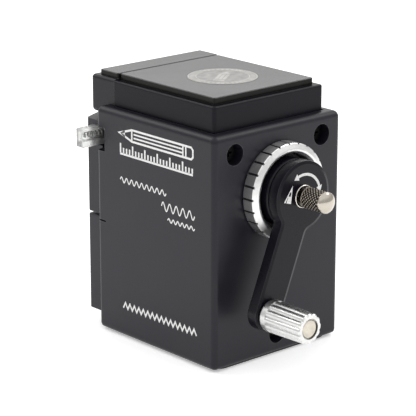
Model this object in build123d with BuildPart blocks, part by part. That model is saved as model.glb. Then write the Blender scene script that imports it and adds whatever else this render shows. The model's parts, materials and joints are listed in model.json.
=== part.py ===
"""Hand-cranked desk pencil sharpener, modelled as the separate pieces it is assembled from.

Frame: millimetres, +Z up. The origin is on the standing surface, under the middle of the housing.
The pencil goes in from the front (-Y), the crank is on the rear face (+Y), and the clamp buttons
stand out at both sides (+X and -X).
"""
import os
from math import asin, cos, radians, sin, sqrt

from build123d import *

# ---------------------------------------------------------------- driving dimensions: housing
body_width = 72.2
body_depth = 76.2
body_height = 100.5
mat_proud = 1.0
mat_recess = 0.8
mat_width = 66.4
mat_depth = 72.0
mat_corner = 6.0
mat_edge = 0.3
side_wall = 3.0
crank_wall = 2.6
top_wall = 2.6
corner_radius = 2.3
bottom_radius = 2.0
top_radius = 2.8
hood_half_width = 31.1
hood_rear_y = 32.4
hood_top_z = 112.5
block_top_z = 113.1
seam_y = -31.5
panel_half_width = 28.1
head_tile_half_width = 28.7
head_tile_front_y = -43.8
tile_top_z = 115.4
tile_gap = 0.9
tile_corner = 0.8
tile_bevel = 0.3
opening_clearance = 0.4
fit_gap = 0.2
overcut = 1.0

half_width = body_width / 2
front_y = -body_depth / 2
rear_y = body_depth / 2
body_bottom = mat_proud
body_top = body_bottom + body_height
floor_z = body_bottom + side_wall
inner_half_width = half_width - side_wall
inner_rear_y = rear_y - crank_wall
ceiling_z = body_top - top_wall

# ---------------------------------------------------------------- driving dimensions: crank line
axis_z = 73.6
screw_places = [(24.8, 92.7), (-24.8, 92.7), (0.0, 9.8)]
screw_hole_radius = 4.6
screw_boss_radius = 6.4
screw_seat_y = 31.8
boss_end_y = 30.0
screw_head_radius = 3.4
screw_head_height = 2.2
screw_shank_radius = 1.5
screw_end_y = 24.6
cross_slot = (3.6, 0.9)
cross_depth = 1.1

lock_outer_radius = 20.8
lock_inner_radius = 16.4
lock_barrel_radius = 18.7
lock_back_y = rear_y + 0.3
lock_edge_y = rear_y + 6.1
lock_front_y = rear_y + 7.3
lock_tooth_count = 24
groove_depth = 0.6
groove_width = 1.0
lug_radius = 20.4
lug_angle = 30.0
lug_count = 3
lug_notch_angle = 34.0
lug_notch_depth = 3.9
lock_turn = 45.0

journal_radius = 7.0
hub_radius = 14.9
hub_skirt_radius = 14.6
hub_back_y = 40.4
crank_radius = 50.8
arm_angle = -68.0
arm_width = 14.8
arm_blend_radius = 3.0
arm_back_y = rear_y + 9.6
arm_edge_y = rear_y + 14.5
bevel_width = 1.3
bevel_height = 0.5
hub_front_y = arm_edge_y + bevel_height
hex_across_flats = 10.0

knob_base_y = rear_y + 15.9
knob_end_y = rear_y + 39.1
knob_base_radius = 6.9
knob_end_radius = 6.5
knob_band = 3.5
knob_rim = 0.6
band_edge = 1.0
knob_recess_radius = 4.4
flute_count = 12
lobe_radius = 1.75
pin_radius = 2.5
pin_head_radius = 3.9
running_gap = 0.05

# ---------------------------------------------------------------- driving dimensions: cutting gear
tooth_module = 1.0
ring_teeth = 31
pinion_teeth = 10
cutter_tilt = 10.5
gear_y = -2.0
pinion_width = 3.0
cutter_radius = 6.0
cutter_root_radius = 4.9
cutter_flutes = 12
cutter_start = 2.0
cutter_end = 24.4
cutter_twist = 70.0
axle_radius = 1.5

ring_pitch_radius = tooth_module * ring_teeth / 2
pinion_pitch_radius = tooth_module * pinion_teeth / 2
gear_distance = ring_pitch_radius - pinion_pitch_radius

# ---------------------------------------------------------------- driving dimensions: feed head
head_front_y = -48.6
block_front_y = -47.6
plate_half_width = 32.7
plate_bottom_z = 51.4
plate_corner_z = 93.7
plate_arch_radius = 140.0
block_bottom_z = 96.7
rod_x = 27.0
rod_z = 58.0
rod_radius = 2.0
rod_front_y = -44.0
rod_rear_y = 14.0
rod_clip_y = 11.0
pencil_hole_radius = 6.5

button_outer_x = 42.7
button_inner_x = 27.0
button_bottom_z = 83.0
button_top_z = 91.2
button_front_y = -44.2
button_rear_y = -40.0
button_wall = 1.3
slider_bar_z = (82.4, 85.2)

# ---------------------------------------------------------------- driving dimensions: drawer
drawer_bottom_z = 4.6
drawer_top_z = 49.4
drawer_rear_y = 22.5
drawer_half_width = 32.4
drawer_wall = 1.6
drawer_front_bottom_z = 6.3
drawer_front_top_z = 50.5
shelf_z = (50.3, 52.3)


# ---------------------------------------------------------------- helpers
def crank_plane(y):
    """Plane square to the crank axis at y; its own X is +X, its Y is +Z, its normal is -Y."""
    return Plane(origin=(0, y, axis_z), x_dir=(1, 0, 0), z_dir=(0, -1, 0))


def upright_plane(y):
    """Plane facing the front at y, with its origin on the standing surface."""
    return Plane(origin=(0, y, 0), x_dir=(1, 0, 0), z_dir=(0, -1, 0))


def box_between(xs, ys, zs, mode=Mode.ADD):
    """Adds or cuts a box that fills three ranges."""
    with BuildSketch(Plane.XY.offset(zs[0])) as outline:
        with Locations(((xs[0] + xs[1]) / 2, (ys[0] + ys[1]) / 2)):
            Rectangle(xs[1] - xs[0], ys[1] - ys[0])
    extrude(outline.sketch, amount=zs[1] - zs[0], mode=mode)


def round_bar(x, z, radius, y_rear, y_front, mode=Mode.ADD):
    """Adds or cuts a cylinder along Y at (x, z)."""
    with BuildSketch(upright_plane(y_rear)) as outline:
        with Locations((x, z)):
            Circle(radius)
    extrude(outline.sketch, amount=y_rear - y_front, mode=mode)


def turned(points, mode=Mode.ADD):
    """Revolves a closed outline of (radius, y) points about the crank axis."""
    with BuildSketch(Plane.YZ) as outline:
        with BuildLine():
            Polyline([(y, axis_z + radius) for radius, y in points], close=True)
        make_face()
    revolve(outline.sketch, axis=crank_axis, revolution_arc=360, mode=mode)


def finish(part, label):
    """Names a piece and writes its file."""
    part.label = label
    export_step(part, os.path.join("parts", label + ".step"))


crank_axis = Axis((0, 0, axis_z), (0, 1, 0))
os.makedirs("parts", exist_ok=True)

# ================================================================ fixed pieces

# Housing: an open-fronted box with an opening in its top for the hood and the grip block.
slit_end_y = -32.3
slit_z = (50.2, 51.0)
button_notch_end_y = -32.4
button_notch_z = (81.9, 92.1)

with BuildPart() as housing:
    with BuildSketch(Plane.XY.offset(body_bottom)):
        RectangleRounded(body_width, body_depth, corner_radius)
    extrude(amount=body_height)
    fillet(housing.faces().sort_by(Axis.Z)[0].edges(), bottom_radius)
    fillet(housing.faces().sort_by(Axis.Z)[-1].edges(), top_radius)
    box_between(
        (-inner_half_width, inner_half_width),
        (front_y, inner_rear_y),
        (floor_z, ceiling_z),
        Mode.SUBTRACT,
    )
    # Opening in the top.
    box_between(
        (-hood_half_width - opening_clearance, hood_half_width + opening_clearance),
        (front_y, hood_rear_y + opening_clearance),
        (ceiling_z, body_top),
        Mode.SUBTRACT,
    )
    # Bosses for the three rear screws, with deep holes from outside.
    for x, z in screw_places:
        round_bar(x, z, screw_boss_radius, inner_rear_y, boss_end_y)
    for x, z in screw_places:
        round_bar(x, z, screw_hole_radius, rear_y, screw_seat_y, Mode.SUBTRACT)
        round_bar(x, z, screw_shank_radius + fit_gap, screw_seat_y, boss_end_y, Mode.SUBTRACT)
    # Round opening for the cutter unit, with notches that let the bayonet lugs in.
    with BuildSketch(crank_plane(rear_y)):
        Circle(lock_barrel_radius + fit_gap)
    extrude(amount=crank_wall, mode=Mode.SUBTRACT)
    with BuildSketch(crank_plane(rear_y)):
        with PolarLocations((lug_radius + lock_barrel_radius) / 2, lug_count, 90 - lock_turn):
            Rectangle(lug_notch_depth, 2 * lug_radius * sin(radians(lug_notch_angle / 2)))
        Circle(lug_radius + fit_gap, mode=Mode.INTERSECT)
    extrude(amount=crank_wall, mode=Mode.SUBTRACT)
    # Slits for the shelf's tongues, and notches behind the clamp buttons.
    for side in (-1, 1):
        outer = side * (half_width + overcut)
        inner = side * inner_half_width
        across = (min(outer, inner), max(outer, inner))
        box_between(across, (front_y, slit_end_y), slit_z, Mode.SUBTRACT)
        box_between(across, (front_y, button_notch_end_y), button_notch_z, Mode.SUBTRACT)
    # Shallow recess for the mat.
    with BuildSketch(Plane.XY.offset(body_bottom)):
        RectangleRounded(mat_width + fit_gap, mat_depth + fit_gap, mat_corner + fit_gap / 2)
    extrude(amount=mat_recess, mode=Mode.SUBTRACT)
finish(housing.part, "housing")

# Inner frame: a shelf over the drawer, two bulkheads standing on it, the pencil guide, and the
# cage of the cutter unit, which is a cup for the ring gear, four bars and a rear seat ring.
guide_radius = 6.3
guide_outer_radius = 12.0
front_journal_radius = 9.0
gear_seat_radius = 19.5
cup_radius = 21.6
cup_front_y = -12.4
cup_rear_y = 0.8
chamber_radius = 15.5
seat_radius = 18.6
seat_shoulder_radius = 17.0
seat_rear_y = 33.3
seat_shoulder_y = 30.3
bulkhead_y = (-35.5, -33.0)
rear_bulkhead_y = (26.5, 29.9)
frame_half_width = inner_half_width - 0.2
chute_half_width = 14.0
leg_half_width = 9.0
bush_outer_radius = 3.6
bush_rear_y = -27.0
boss_front_y = 23.6
pillar_radius = 4.0
tongue_x = (29.0, 35.0)
tongue_front_y = -37.6
tongue_z = (50.35, 50.9)
chute_y = (2.0, 25.5)
front_bulkhead_top_z = 96.2
rear_bulkhead_top_z = 97.0
rear_bulkhead_half_width = 30.0
bush_boss_radius = 5.2
cage_nose_y = -15.2
chamber_y = (-9.9, -4.7)
bar_ring_radius = 20.6
bar_size = (1.8, 7.0)
bar_count = 4
key_x = (17.4, 19.4)
key_front_y = 29.8
key_half_height = 1.8

# Shelf: closes the drawer's space above, with a way for the shavings and two tongues.
with BuildPart() as frame_shelf:
    box_between((-frame_half_width, frame_half_width), (bulkhead_y[0], rear_bulkhead_y[1]), shelf_z)
    for side in (-1, 1):
        tongue = sorted((side * tongue_x[0], side * tongue_x[1]))
        box_between(tongue, (tongue_front_y, bulkhead_y[1]), tongue_z)
    box_between((-chute_half_width, chute_half_width), chute_y, shelf_z, Mode.SUBTRACT)
    box_between((-leg_half_width, leg_half_width), rear_bulkhead_y, shelf_z, Mode.SUBTRACT)
    round_bar(0, axis_z, cup_radius, cup_rear_y, cup_front_y, Mode.SUBTRACT)
finish(frame_shelf.part, "frame_shelf")

# Front bulkhead: carries the pencil guide and the two rod bushes.
with BuildPart() as front_bulkhead:
    box_between((-frame_half_width, frame_half_width), bulkhead_y, (shelf_z[1], front_bulkhead_top_z))
    for side in (-1, 1):
        round_bar(side * rod_x, rod_z, bush_boss_radius, bush_rear_y, bulkhead_y[1])
    for side in (-1, 1):
        round_bar(side * rod_x, rod_z, bush_outer_radius, bush_rear_y, bulkhead_y[0], Mode.SUBTRACT)
    round_bar(0, axis_z, guide_outer_radius, bulkhead_y[1], bulkhead_y[0], Mode.SUBTRACT)
finish(front_bulkhead.part, "front_bulkhead")

# Pencil guide: a tube from the front bulkhead to the cage.
with BuildPart() as pencil_guide:
    turned([
        (guide_radius, bulkhead_y[0]),
        (guide_outer_radius, bulkhead_y[0]),
        (guide_outer_radius, cage_nose_y),
        (guide_radius, cage_nose_y),
    ])
finish(pencil_guide.part, "pencil_guide")

# Rear bulkhead: a plate with the bosses for the housing's screws and a leg behind the drawer.
with BuildPart() as rear_bulkhead:
    across = (-rear_bulkhead_half_width, rear_bulkhead_half_width)
    box_between(across, rear_bulkhead_y, (shelf_z[1], rear_bulkhead_top_z))
    for x, z in screw_places:
        round_bar(x, z, pillar_radius, rear_bulkhead_y[1], boss_front_y)
    box_between((-leg_half_width, leg_half_width), rear_bulkhead_y, (drawer_bottom_z, shelf_z[1]))
    for x, z in screw_places:
        round_bar(x, z, screw_shank_radius, rear_bulkhead_y[1], boss_front_y, Mode.SUBTRACT)
    round_bar(0, axis_z, cup_radius, rear_bulkhead_y[1], rear_bulkhead_y[0], Mode.SUBTRACT)
finish(rear_bulkhead.part, "rear_bulkhead")

# Gear cup: seats the ring gear and carries the front journal.
with BuildPart() as gear_cup:
    turned([
        (front_journal_radius + running_gap, cage_nose_y),
        (guide_outer_radius, cage_nose_y),
        (guide_outer_radius, cup_front_y),
        (cup_radius, cup_front_y),
        (cup_radius, cup_rear_y),
        (gear_seat_radius, cup_rear_y),
        (gear_seat_radius, chamber_y[1]),
        (chamber_radius, chamber_y[1]),
        (chamber_radius, chamber_y[0]),
        (front_journal_radius + running_gap, chamber_y[0]),
    ])
finish(gear_cup.part, "gear_cup")

# Cage bars: four rails from the cup to the seat ring.
with BuildPart() as cage_bars:
    with BuildSketch(crank_plane(rear_bulkhead_y[0])):
        with PolarLocations(bar_ring_radius, bar_count, 45):
            Rectangle(*bar_size)
    extrude(amount=rear_bulkhead_y[0] - cup_rear_y)
finish(cage_bars.part, "cage_bars")

# Seat ring: the cutter unit's rear seat, with two keys that stop the bearing plate from turning.
with BuildPart() as seat_ring:
    turned([
        (seat_shoulder_radius, rear_bulkhead_y[0]),
        (cup_radius, rear_bulkhead_y[0]),
        (cup_radius, seat_rear_y),
        (seat_radius, seat_rear_y),
        (seat_radius, seat_shoulder_y),
        (seat_shoulder_radius, seat_shoulder_y),
    ])
    for side in (-1, 1):
        key = sorted((side * key_x[0], side * key_x[1]))
        box_between(key, (key_front_y, seat_rear_y), (axis_z - key_half_height, axis_z + key_half_height))
finish(seat_ring.part, "seat_ring")

# Ring gear: internal teeth, pressed into the cup of the cage.
tooth_slope = 0.36
ring_addendum = 0.8 * tooth_module
ring_dedendum = 1.4 * tooth_module
ring_tip_radius = ring_pitch_radius - ring_addendum
ring_root_radius = ring_pitch_radius + ring_dedendum
tooth_foot_radius = ring_root_radius + 0.3
tooth_half = 0.59 * tooth_module
ring_y = (-4.6, 0.4)

with BuildPart() as ring_gear:
    with BuildSketch(crank_plane(ring_y[1])):
        Circle(gear_seat_radius)
        Circle(ring_root_radius, mode=Mode.SUBTRACT)
    extrude(amount=ring_y[1] - ring_y[0])
    # A tooth is a wedge that narrows towards the crank axis.
    tip_half = tooth_half - tooth_slope * (ring_pitch_radius - ring_tip_radius)
    root_half = tooth_half + tooth_slope * (tooth_foot_radius - ring_pitch_radius)
    with BuildSketch(crank_plane(ring_y[1])):
        with PolarLocations(0, ring_teeth, 90):
            Polygon(
                (ring_tip_radius, -tip_half),
                (tooth_foot_radius, -root_half),
                (tooth_foot_radius, root_half),
                (ring_tip_radius, tip_half),
                align=None,
            )
    extrude(amount=ring_y[1] - ring_y[0])
finish(ring_gear.part, "ring_gear")

# Bearing plate: carries the rear journal; the lock ring holds it against its seat.
plate_flange_radius = 18.4
plate_boss_radius = 16.2
plate_front_y = 30.4
plate_flange_y = 33.5
plate_rear_y = 40.0
plate_edge = 0.6
bush_seat_radius = journal_radius + 2.0
key_way_x = (17.2, 19.0)
key_way_half_height = 2.1

with BuildPart() as bearing_plate:
    turned([
        (bush_seat_radius, plate_front_y),
        (plate_flange_radius, plate_front_y),
        (plate_flange_radius, plate_flange_y),
        (plate_boss_radius, plate_flange_y),
        (plate_boss_radius, plate_rear_y - plate_edge),
        (plate_boss_radius - plate_edge, plate_rear_y),
        (bush_seat_radius, plate_rear_y),
    ])
    for side in (-1, 1):
        key_way = sorted((side * key_way_x[0], side * key_way_x[1]))
        key_way_z = (axis_z - key_way_half_height, axis_z + key_way_half_height)
        box_between(key_way, (plate_front_y, plate_flange_y), key_way_z, Mode.SUBTRACT)
finish(bearing_plate.part, "bearing_plate")

# Journal bush: lines the bearing plate.
with BuildPart() as journal_bush:
    turned([
        (journal_radius + running_gap, plate_front_y),
        (bush_seat_radius, plate_front_y),
        (bush_seat_radius, plate_rear_y),
        (journal_radius + running_gap, plate_rear_y),
    ])
finish(journal_bush.part, "journal_bush")

# Hood: the fixed rear cap, standing in the housing's opening and held by four hooked legs.
hood_bottom_z = 99.4
hood_wall = 2.2
hood_corner = 1.5
hood_edge = 0.9
leg_places = (-20.0, 15.0)
leg_half_length = 4.0
leg_x = (28.9, 30.9)
hook_x = (30.4, 32.4)
leg_bottom_z = 94.0
hook_bottom_z = 96.4
peg_places = (-20.0, 18.0)
peg_radius = 1.9
peg_hole_radius = 2.0

with BuildPart() as rear_hood:
    hood_depth = hood_rear_y - seam_y
    hood_middle = (hood_rear_y + seam_y) / 2
    with BuildSketch(Plane.XY.offset(hood_bottom_z)):
        with Locations((0, hood_middle)):
            Rectangle(2 * hood_half_width, hood_depth)
    extrude(amount=hood_top_z - hood_bottom_z)
    fillet(rear_hood.edges().filter_by(Axis.Z).group_by(Axis.Y)[-1], hood_corner)
    top_edges = rear_hood.faces().sort_by(Axis.Z)[-1].edges()
    fillet(top_edges.sort_by(Axis.Y)[1:], hood_edge)
    with BuildSketch(Plane.XY.offset(hood_bottom_z)):
        with Locations((0, hood_middle)):
            Rectangle(2 * (hood_half_width - hood_wall), hood_depth - 2 * hood_wall)
    extrude(amount=hood_top_z - hood_wall - hood_bottom_z, mode=Mode.SUBTRACT)
    for side in (-1, 1):
        leg = sorted((side * leg_x[0], side * leg_x[1]))
        hook = sorted((side * hook_x[0], side * hook_x[1]))
        for y in leg_places:
            along = (y - leg_half_length, y + leg_half_length)
            box_between(leg, along, (leg_bottom_z, hood_bottom_z + overcut))
            box_between(hook, along, (hook_bottom_z, ceiling_z - fit_gap))
    # Two holes take the top panel's pegs.
    for y in peg_places:
        with BuildSketch(Plane.XY.offset(hood_top_z)):
            with Locations((0, y)):
                Circle(peg_hole_radius)
        extrude(amount=-hood_wall, mode=Mode.SUBTRACT)
finish(rear_hood.part, "rear_hood")

# Top panel: a flat tile with a shallow round recess for the emblem disc.
emblem_radius = 15.0
emblem_place = (-0.8, 2.3)
panel_front_y = -30.9
panel_rear_y = 29.2
emblem_depth = 0.3
emblem_proud = 0.1

with BuildPart() as top_panel:
    with BuildSketch(Plane.XY.offset(hood_top_z)):
        with Locations((0, (panel_front_y + panel_rear_y) / 2)):
            RectangleRounded(2 * panel_half_width, panel_rear_y - panel_front_y, tile_corner)
    extrude(amount=tile_top_z - hood_top_z)
    chamfer(top_panel.faces().sort_by(Axis.Z)[-1].edges(), tile_bevel)
    with BuildSketch(Plane.XY.offset(tile_top_z)):
        with Locations(emblem_place):
            Circle(emblem_radius + running_gap)
    extrude(amount=-emblem_depth, mode=Mode.SUBTRACT)
    for y in peg_places:
        with BuildSketch(Plane.XY.offset(hood_top_z)):
            with Locations((0, y)):
                Circle(peg_radius)
        extrude(amount=-hood_wall)
finish(top_panel.part, "top_panel")

# Emblem disc: a thin foil badge laid in the recess.
with BuildPart() as emblem_disc:
    with BuildSketch(Plane.XY.offset(tile_top_z - emblem_depth)):
        with Locations(emblem_place):
            Circle(emblem_radius)
    extrude(amount=emblem_depth + emblem_proud)
finish(emblem_disc.part, "emblem_disc")

# Rubber mat under the housing.
with BuildPart() as base_mat:
    with BuildSketch(Plane.XY):
        RectangleRounded(mat_width, mat_depth, mat_corner)
    extrude(amount=mat_proud + mat_recess)
    fillet(base_mat.faces().sort_by(Axis.Z)[0].edges(), mat_edge)
finish(base_mat.part, "base_mat")

# Three screws through the rear of the housing into the rear bulkhead.
with BuildPart() as housing_screws:
    for x, z in screw_places:
        head_rear_y = screw_seat_y + screw_head_height
        round_bar(x, z, screw_head_radius, head_rear_y, screw_seat_y)
        round_bar(x, z, screw_shank_radius, screw_seat_y, screw_end_y)
        for width, height in (cross_slot, cross_slot[::-1]):
            slot_x = (x - width / 2, x + width / 2)
            slot_z = (z - height / 2, z + height / 2)
            box_between(slot_x, (head_rear_y - cross_depth, head_rear_y), slot_z, Mode.SUBTRACT)
finish(housing_screws.part, "housing_screws")

# Two plain bushes for the guide rods.
with BuildPart() as rod_bushes:
    for side in (-1, 1):
        round_bar(side * rod_x, rod_z, bush_outer_radius, bush_rear_y, bulkhead_y[0])
        bore = rod_radius + running_gap
        round_bar(side * rod_x, rod_z, bore, bush_rear_y, bulkhead_y[0], Mode.SUBTRACT)
finish(rod_bushes.part, "rod_bushes")

# ================================================================ lock ring
lug_y = (33.9, 35.2)
lug_depth = 6.0
rim_round = 0.4
face_round = 0.1
slope_width = 2.3
mouth_bevel = 1.0

with BuildPart() as lock_ring:
    turned([
        (lock_inner_radius, lug_y[0]),
        (lock_barrel_radius, lug_y[0]),
        (lock_barrel_radius, lock_back_y),
        (lock_outer_radius - rim_round, lock_back_y),
        (lock_outer_radius, lock_back_y + rim_round),
        (lock_outer_radius - face_round, lock_edge_y - 2 * face_round),
        (lock_outer_radius - rim_round, lock_edge_y + face_round),
        (lock_outer_radius - slope_width, lock_front_y - face_round),
        (lock_outer_radius - slope_width - 3 * face_round, lock_front_y),
        (lock_inner_radius + mouth_bevel + 3 * face_round, lock_front_y),
        (lock_inner_radius + mouth_bevel, lock_front_y - face_round),
        (lock_inner_radius, lock_front_y - face_round - mouth_bevel),
    ])
    # Grip teeth: shallow grooves between wide teeth.
    with BuildSketch(crank_plane(lock_front_y)):
        with PolarLocations(lock_outer_radius, lock_tooth_count, 90):
            Rectangle(2 * groove_depth, groove_width)
    extrude(amount=lock_front_y - lock_back_y + face_round, mode=Mode.SUBTRACT)
    # Bayonet lugs behind the crank wall.
    with BuildSketch(crank_plane(lug_y[1])):
        with PolarLocations(lock_barrel_radius, lug_count, 90):
            Rectangle(lug_depth, 2 * lug_radius * sin(radians(lug_angle / 2)))
        Circle(lug_radius, mode=Mode.INTERSECT)
        Circle(lock_barrel_radius - overcut / 2, mode=Mode.SUBTRACT)
    extrude(amount=lug_y[1] - lug_y[0])
finish(lock_ring.part, "lock_ring")

# ================================================================ crank
arm_direction = (cos(radians(arm_angle)), sin(radians(arm_angle)))
handle_x = crank_radius * arm_direction[0]
handle_z = axis_z + crank_radius * arm_direction[1]


def arm_plane(y):
    """Plane at y with its X along the arm and its origin on the crank axis."""
    along = (arm_direction[0], 0, arm_direction[1])
    return Plane(origin=(0, y, axis_z), x_dir=along, z_dir=(0, -1, 0))


socket_end_y = 48.6
socket_throat_y = 48.0
thread_radius = 3.45
arm_back_edge = 0.4
bevel_cut = 0.48
skirt_gap = 0.7
skirt_round = 0.9
skirt_break = (0.25, 0.3)
skirt_neck_radius = hub_skirt_radius - 1.3

with BuildPart() as crank_arm:
    # A flat plate: the hub's disc, a bar with a round end, and concave corners between them.
    with BuildSketch(arm_plane(arm_edge_y)) as arm_outline:
        Circle(hub_radius)
        with Locations((crank_radius / 2, 0)):
            Rectangle(crank_radius, arm_width)
        with Locations((crank_radius, 0)):
            Circle(arm_width / 2)
        inner_corners = arm_outline.vertices().filter_by(
            lambda corner: abs(Vector(corner).length - hub_radius) < running_gap
        )
        fillet(inner_corners, arm_blend_radius)
    extrude(amount=arm_edge_y - arm_back_y)
    extrude(arm_outline.sketch, amount=-bevel_height)
    front_face = crank_arm.faces().sort_by(Axis.Y)[-1]
    chamfer(front_face.edges(), bevel_width, bevel_cut, reference=front_face)
    fillet(crank_arm.faces().sort_by(Axis.Y)[0].edges(), arm_back_edge)
    # Hub skirt inside the lock ring, with a rounded shoulder and a neck behind the disc.
    skirt_end_y = arm_back_y - skirt_gap
    turned([
        (0, hub_back_y),
        (hub_skirt_radius - fit_gap, hub_back_y),
        (hub_skirt_radius, hub_back_y + fit_gap),
        (hub_skirt_radius, skirt_end_y - skirt_round),
        (hub_skirt_radius - skirt_break[0], skirt_end_y - skirt_break[1]),
        (hub_skirt_radius - skirt_round, skirt_end_y),
        (skirt_neck_radius, skirt_end_y),
        (skirt_neck_radius, arm_back_y + overcut / 2),
        (0, arm_back_y + overcut / 2),
    ])
    # Hexagonal socket for the cutter frame, and the way for the adjuster.
    with BuildSketch(crank_plane(socket_end_y)):
        RegularPolygon(hex_across_flats / 2 + running_gap, 6, major_radius=False)
    extrude(amount=socket_end_y - hub_back_y, mode=Mode.SUBTRACT)
    round_bar(0, axis_z, thread_radius, hub_front_y, socket_throat_y, Mode.SUBTRACT)
    # Hole for the handle pin.
    with BuildSketch(arm_plane(hub_front_y)):
        with Locations((crank_radius, 0)):
            Circle(pin_radius)
    extrude(amount=hub_front_y - arm_back_y, mode=Mode.SUBTRACT)
finish(crank_arm.part, "crank_arm")

# Handle pin: riveted in the arm, with a shoulder under the handle and a head in its end.
knob_recess_y = knob_end_y - 1.7
pin_end_y = knob_end_y - 0.3
pin_shoulder_radius = 4.6
pin_head_edge = 0.5

with BuildPart() as handle_pin:
    round_bar(handle_x, handle_z, pin_radius, pin_end_y, arm_back_y)
    round_bar(handle_x, handle_z, pin_shoulder_radius, knob_base_y - fit_gap, hub_front_y)
    round_bar(handle_x, handle_z, pin_head_radius, pin_end_y, knob_recess_y + fit_gap / 2)
    head_edge = handle_pin.edges().filter_by(GeomType.CIRCLE).sort_by(Axis.Y)[-1]
    fillet(head_edge, pin_head_edge)
finish(handle_pin.part, "handle_pin")

# Handle: a tapered metal grip of round lobes, with a smooth band at its base.
def handle_section(y, outer_radius):
    """Outline of the grip at y: a ring of lobes that reach out to a radius."""
    with BuildSketch(upright_plane(y)) as section:
        with Locations((handle_x, handle_z)):
            Circle(outer_radius - lobe_radius / 2)
            with PolarLocations(outer_radius - lobe_radius, flute_count):
                Circle(lobe_radius)
    return section.sketch


with BuildPart() as handle_knob:
    band_end_y = knob_base_y + knob_band
    rim_start_y = knob_end_y - knob_rim
    round_bar(handle_x, handle_z, knob_base_radius, band_end_y, knob_base_y)
    fillet(handle_knob.faces().sort_by(Axis.Y)[0].edges(), band_edge)
    # Lobes, then a bevel round their ends.
    start_section = handle_section(band_end_y, knob_base_radius)
    rim_section = handle_section(rim_start_y, knob_end_radius)
    end_section = handle_section(knob_end_y, knob_end_radius - knob_rim)
    loft([start_section, rim_section], ruled=True)
    loft([rim_section, end_section], ruled=True)
    round_bar(handle_x, handle_z, pin_radius + running_gap, knob_end_y, knob_base_y, Mode.SUBTRACT)
    round_bar(handle_x, handle_z, knob_recess_radius, knob_end_y, knob_recess_y, Mode.SUBTRACT)
finish(handle_knob.part, "handle_knob")

# Cutter frame: one casting with a rear journal, a front journal, two discs and three rails.
gear_tilt = radians(cutter_tilt)
rear_disc_y = (26.8, 30.0)
front_disc_y = (-9.6, -6.8)
hex_rear_y = 48.5
rod_flat = 1.1
frame_bore_radius = 5.6
front_journal_y = -15.0
front_disc_radius = 14.8
rear_disc_radius = 14.0
rail_radii = (10.6, 13.4)
rail_half_width = 3.0
axle_hole_y = (-8.5, 31.0)
bush_thread_y = 43.8
shank_bore_radius = 2.1
shank_bore_y = 34.4
rod_bore_radius = 1.65
journal_end_y = plate_rear_y + 0.3


def tilted_plane(along):
    """Plane square to the cutter's tilted axle, at a distance along it from the gear's middle."""
    direction = (0, cos(gear_tilt), -sin(gear_tilt))
    middle = (0, gear_y + along * direction[1], axis_z + gear_distance + along * direction[2])
    return Plane(origin=middle, x_dir=(1, 0, 0), z_dir=direction)


def tilted_bar(radius, start, end, mode=Mode.ADD):
    """Adds or cuts a cylinder about the tilted axle."""
    with BuildSketch(tilted_plane(start)) as outline:
        Circle(radius)
    extrude(outline.sketch, amount=end - start, mode=mode)


with BuildPart() as cutter_frame:
    turned([
        (frame_bore_radius, front_journal_y),
        (front_journal_radius, front_journal_y),
        (front_journal_radius, front_disc_y[0]),
        (front_disc_radius, front_disc_y[0]),
        (front_disc_radius, front_disc_y[1]),
        (frame_bore_radius, front_disc_y[1]),
    ])
    turned([
        (0, rear_disc_y[0]),
        (rear_disc_radius, rear_disc_y[0]),
        (rear_disc_radius, rear_disc_y[1]),
        (journal_radius, rear_disc_y[1]),
        (journal_radius, journal_end_y),
        (0, journal_end_y),
    ])
    # Three rails: one at each side and one under the cutter.
    rail_y = (front_disc_y[1], rear_disc_y[0])
    across = (-rail_half_width, rail_half_width)
    for side in (-1, 1):
        rail_x = sorted((side * rail_radii[0], side * rail_radii[1]))
        box_between(rail_x, rail_y, (axis_z - rail_half_width, axis_z + rail_half_width))
    box_between(across, rail_y, (axis_z - rail_radii[1], axis_z - rail_radii[0]))
    with BuildSketch(crank_plane(hex_rear_y)):
        RegularPolygon(hex_across_flats / 2, 6, major_radius=False)
    extrude(amount=hex_rear_y - plate_rear_y)
    tilted_bar(axle_radius, *axle_hole_y, Mode.SUBTRACT)
    # Stepped bore: bush thread at the rear, adjuster shank, then a flatted way for the stop rod.
    round_bar(0, axis_z, thread_radius, hex_rear_y, bush_thread_y, Mode.SUBTRACT)
    round_bar(0, axis_z, shank_bore_radius, bush_thread_y, shank_bore_y, Mode.SUBTRACT)
    flat_height = rod_bore_radius + rod_flat + running_gap
    with BuildSketch(crank_plane(shank_bore_y)):
        Circle(rod_bore_radius)
        with Locations((0, flat_height / 2 - rod_bore_radius)):
            Rectangle(3 * rod_bore_radius, flat_height, mode=Mode.INTERSECT)
    extrude(amount=shank_bore_y - rear_disc_y[0], mode=Mode.SUBTRACT)
finish(cutter_frame.part, "cutter_frame")

# Axle of the cutter, pressed into both discs.
axle_start = -7.6
with BuildPart() as cutter_axle:
    tilted_bar(axle_radius, axle_start, axle_hole_y[1])
finish(cutter_axle.part, "cutter_axle")

# Spacer between the cutter and the rear disc.
spacer_radius = 2.6
spacer_reach = (cutter_end + 0.3, 28.7)
with BuildPart() as cutter_spacer:
    tilted_bar(spacer_radius, *spacer_reach)
    tilted_bar(axle_radius, *spacer_reach, Mode.SUBTRACT)
finish(cutter_spacer.part, "cutter_spacer")

# Bright bush that clamps the arm on the hexagon and carries the adjuster's shank.
shank_radius = 1.95
bush_inner_y = 45.2
bush_barrel_radius = 3.4
bush_flange_radius = 4.9
bush_flange_end_y = hub_front_y + 0.4

with BuildPart() as adjuster_bush:
    turned([
        (shank_radius + running_gap, bush_inner_y),
        (bush_barrel_radius, bush_inner_y),
        (bush_barrel_radius, hub_front_y),
        (bush_flange_radius, hub_front_y),
        (bush_flange_radius, bush_flange_end_y - fit_gap),
        (bush_flange_radius - fit_gap, bush_flange_end_y),
        (shank_radius + running_gap, bush_flange_end_y),
    ])
finish(adjuster_bush.part, "adjuster_bush")

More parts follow.
